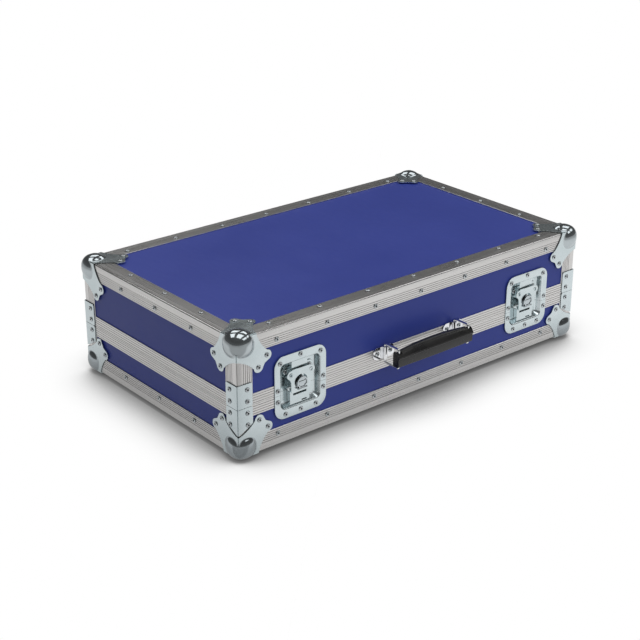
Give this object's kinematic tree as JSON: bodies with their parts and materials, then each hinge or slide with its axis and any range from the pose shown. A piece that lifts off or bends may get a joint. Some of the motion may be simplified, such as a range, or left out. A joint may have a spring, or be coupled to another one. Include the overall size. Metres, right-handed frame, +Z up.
{
  "type": "lighting console flight case",
  "caption": "Shallow rectangular flight case with a hinged lid, ball corners, ridged aluminium edges, recessed butterfly latches and a swinging front handle.",
  "frame": {"origin": "under the middle of the whole object, on the surface it stands on", "axes": "+X to the right along the front, +Y from the front to the hinged back, +Z up"},
  "size_m": [0.786, 0.5006, 0.221],
  "materials": {
    "laminate": "smooth blue laminate on plywood",
    "aluminium": "brushed and ridged extrusion",
    "zinc_steel": "zinc-plated pressed steel",
    "chrome": "polished chrome plate",
    "black_grip": "satin black moulding",
    "foam": "dense grey foam"
  },
  "bodies": {
    "base": {"base_floor_panel": "laminate", "base_front_panel": "laminate", "base_edge_front": "aluminium", "base_back_panel": "laminate", "base_edge_back": "aluminium", "base_left_panel": "laminate", "base_edge_left": "aluminium", "base_right_panel": "laminate", "base_edge_right": "aluminium", "base_rim_frame": "aluminium", "base_ball_corner_front_left": "zinc_steel", "base_corner_brace_front_left": "zinc_steel", "base_ball_corner_front_right": "zinc_steel", "base_corner_brace_front_right": "zinc_steel", "base_ball_corner_back_left": "zinc_steel", "base_corner_brace_back_left": "zinc_steel", "base_ball_corner_back_right": "zinc_steel", "base_corner_brace_back_right": "zinc_steel", "base_foam_liner": "foam", "hinge_base_leaf": "zinc_steel", "hinge_pin": "zinc_steel", "latch_left_dish_lower": "zinc_steel", "latch_left_keeper": "zinc_steel", "latch_right_dish_lower": "zinc_steel", "latch_right_keeper": "zinc_steel"},
    "lid": {"lid_top_panel": "laminate", "lid_front_panel": "laminate", "lid_edge_front": "aluminium", "lid_back_panel": "laminate", "lid_edge_back": "aluminium", "lid_left_panel": "laminate", "lid_edge_left": "aluminium", "lid_right_panel": "laminate", "lid_edge_right": "aluminium", "lid_rim_frame": "aluminium", "lid_ball_corner_front_left": "zinc_steel", "lid_corner_brace_front_left": "zinc_steel", "lid_ball_corner_front_right": "zinc_steel", "lid_corner_brace_front_right": "zinc_steel", "lid_ball_corner_back_left": "zinc_steel", "lid_corner_brace_back_left": "zinc_steel", "lid_ball_corner_back_right": "zinc_steel", "lid_corner_brace_back_right": "zinc_steel", "lid_foam_liner": "foam", "hinge_lid_leaf": "zinc_steel", "latch_left_dish_upper": "zinc_steel", "latch_left_table": "zinc_steel", "handle_bracket_left": "chrome", "latch_right_dish_upper": "zinc_steel", "latch_right_table": "zinc_steel", "handle_bracket_right": "chrome"},
    "latch_left_hook_plate": {"latch_left_hook": "zinc_steel"},
    "latch_left_hub_body": {"latch_left_hub": "zinc_steel"},
    "latch_left_wing_body": {"latch_left_wing": "zinc_steel"},
    "handle_ring_left_body": {"handle_ring_left": "chrome"},
    "latch_right_hook_plate": {"latch_right_hook": "zinc_steel"},
    "latch_right_hub_body": {"latch_right_hub": "zinc_steel"},
    "latch_right_wing_body": {"latch_right_wing": "zinc_steel"},
    "handle_ring_right_body": {"handle_ring_right": "chrome"},
    "handle_grip_body": {"handle_grip": "black_grip"}
  },
  "joints": [
    {"name": "lid_hinge", "type": "hinge", "parent": "base", "child": "lid", "pos_m": [0, 0.24625, 0.094], "axis": [-1, 0, 0], "range_deg": [0, 100]},
    {"name": "latch_left_hub_turn", "type": "hinge", "parent": "lid", "child": "latch_left_hub_body", "pos_m": [-0.261, -0.20375, 0.1053], "axis": [0, -1, 0], "range_deg": [-30, 150]},
    {"name": "latch_left_wing_fold", "type": "hinge", "parent": "latch_left_hub_body", "child": "latch_left_wing_body", "pos_m": [-0.261, -0.20975, 0.0968], "axis": [1, 0, 0], "range_deg": [0, 100]},
    {"name": "latch_left_hook_slide", "type": "slide", "parent": "lid", "child": "latch_left_hook_plate", "axis": [0, 0.5, 0.866], "range_m": [-0.0008, 0.004]},
    {"name": "latch_right_hub_turn", "type": "hinge", "parent": "lid", "child": "latch_right_hub_body", "pos_m": [0.261, -0.20375, 0.1053], "axis": [0, -1, 0], "range_deg": [-30, 150]},
    {"name": "latch_right_wing_fold", "type": "hinge", "parent": "latch_right_hub_body", "child": "latch_right_wing_body", "pos_m": [0.261, -0.20975, 0.0968], "axis": [1, 0, 0], "range_deg": [0, 100]},
    {"name": "latch_right_hook_slide", "type": "slide", "parent": "lid", "child": "latch_right_hook_plate", "axis": [0, 0.5, 0.866], "range_m": [-0.0008, 0.004]},
    {"name": "handle_ring_left_swing", "type": "hinge", "parent": "lid", "child": "handle_ring_left_body", "pos_m": [-0.084, -0.20835, 0.10515], "axis": [0, 0, 1], "range_deg": [-40, 40]},
    {"name": "handle_ring_right_swing", "type": "hinge", "parent": "lid", "child": "handle_ring_right_body", "pos_m": [0.076, -0.20835, 0.10515], "axis": [0, 0, 1], "range_deg": [-40, 40]},
    {"name": "handle_grip_turn", "type": "hinge", "parent": "handle_ring_left_body", "child": "handle_grip_body", "pos_m": [-0.084, -0.24225, 0.10515], "axis": [0, 0, 1], "range_deg": [-40, 40]}
  ],
  "couplings": [
    {"joint": "latch_left_hub_turn", "follows": "latch_left_hook_slide", "rad_per_m": 653.6},
    {"joint": "latch_right_hub_turn", "follows": "latch_right_hook_slide", "rad_per_m": 653.6},
    {"joint": "handle_ring_right_swing", "follows": "handle_ring_left_swing", "ratio": 1},
    {"joint": "handle_grip_turn", "follows": "handle_ring_left_swing", "ratio": -1}
  ]
}
